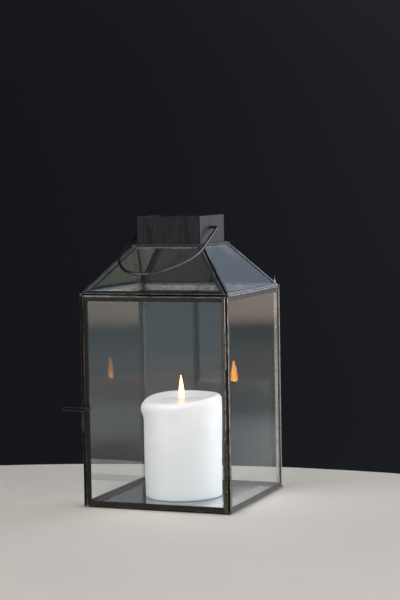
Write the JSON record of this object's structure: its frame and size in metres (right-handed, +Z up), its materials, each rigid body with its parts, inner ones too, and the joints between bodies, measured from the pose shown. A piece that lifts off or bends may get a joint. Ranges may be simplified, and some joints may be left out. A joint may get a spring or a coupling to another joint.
{
  "type": "candle lantern",
  "caption": "Square glass candle lantern with a hinged front door, glass roof, open collar and swinging wire bail; a pillar candle stands on its mirror base.",
  "frame": {"origin": "centre of the square underside, on the plane that the lantern stands on", "axes": "+Z up, -Y out of the door, +X towards the door's hinges"},
  "size_m": [0.1645, 0.1711, 0.2681],
  "materials": {
    "channel_metal": "dark patinated zinc channel with worn, brighter folds",
    "collar_metal": "dark patinated sheet, slightly greyer than the channels",
    "hinge_metal": "dark patinated brass-coloured tube and strip",
    "bail_wire": "dull drawn wire",
    "solder": "darkened tin solder",
    "pane_glass": "clear float glass",
    "mirror": "mirror glass, silvered underneath",
    "wax": "white candle wax",
    "wick": "charred cotton"
  },
  "bodies": {
    "root": {"back_channel_bottom": "channel_metal", "back_channel_left": "channel_metal", "back_channel_right": "channel_metal", "back_channel_top": "channel_metal", "back_glass": "pane_glass", "base_channel_back": "channel_metal", "base_channel_front": "channel_metal", "base_channel_left": "channel_metal", "base_channel_right": "channel_metal", "base_mirror": "mirror", "candle": "wax", "collar": "collar_metal", "frame_knuckle_lower": "hinge_metal", "frame_knuckle_upper": "hinge_metal", "hinge_pin_lower": "hinge_metal", "hinge_pin_upper": "hinge_metal", "latch_catch": "hinge_metal", "left_channel_back": "channel_metal", "left_channel_bottom": "channel_metal", "left_channel_front": "channel_metal", "left_channel_top": "channel_metal", "left_glass": "pane_glass", "right_channel_back": "channel_metal", "right_channel_bottom": "channel_metal", "right_channel_front": "channel_metal", "right_channel_top": "channel_metal", "right_glass": "pane_glass", "roof_back_channel_eave": "channel_metal", "roof_back_channel_hip_left": "channel_metal", "roof_back_channel_hip_right": "channel_metal", "roof_back_channel_top": "channel_metal", "roof_back_glass": "pane_glass", "roof_front_channel_eave": "channel_metal", "roof_front_channel_hip_left": "channel_metal", "roof_front_channel_hip_right": "channel_metal", "roof_front_channel_top": "channel_metal", "roof_front_glass": "pane_glass", "roof_left_channel_eave": "channel_metal", "roof_left_channel_hip_left": "channel_metal", "roof_left_channel_hip_right": "channel_metal", "roof_left_channel_top": "channel_metal", "roof_left_glass": "pane_glass", "roof_right_channel_eave": "channel_metal", "roof_right_channel_hip_left": "channel_metal", "roof_right_channel_hip_right": "channel_metal", "roof_right_channel_top": "channel_metal", "roof_right_glass": "pane_glass", "solder_beads": "solder", "wick": "wick"},
    "door": {"door_glass": "pane_glass", "door_knuckle_lower": "hinge_metal", "door_knuckle_upper": "hinge_metal", "door_rail_bottom": "channel_metal", "door_rail_top": "channel_metal", "door_stile_hinge": "channel_metal", "door_stile_latch": "channel_metal", "latch_stud": "hinge_metal"},
    "bail": {"bail_handle": "bail_wire"},
    "latch": {"latch_arm": "hinge_metal"}
  },
  "joints": [
    {"name": "door_hinge", "type": "hinge", "parent": "root", "child": "door", "pos_m": [0.06915, -0.07425, 0.0999], "axis": [0, 0, 1], "range_deg": [0, 180]},
    {"name": "bail_swing", "type": "hinge", "parent": "root", "child": "bail", "pos_m": [0, 0, 0.25695], "axis": [-1, 0, 0], "range_deg": [0, 224]},
    {"name": "latch_swing", "type": "hinge", "parent": "door", "child": "latch", "pos_m": [-0.0673, -0.07435, 0.0916], "axis": [0, 1, 0], "range_deg": [0, 270]}
  ]
}
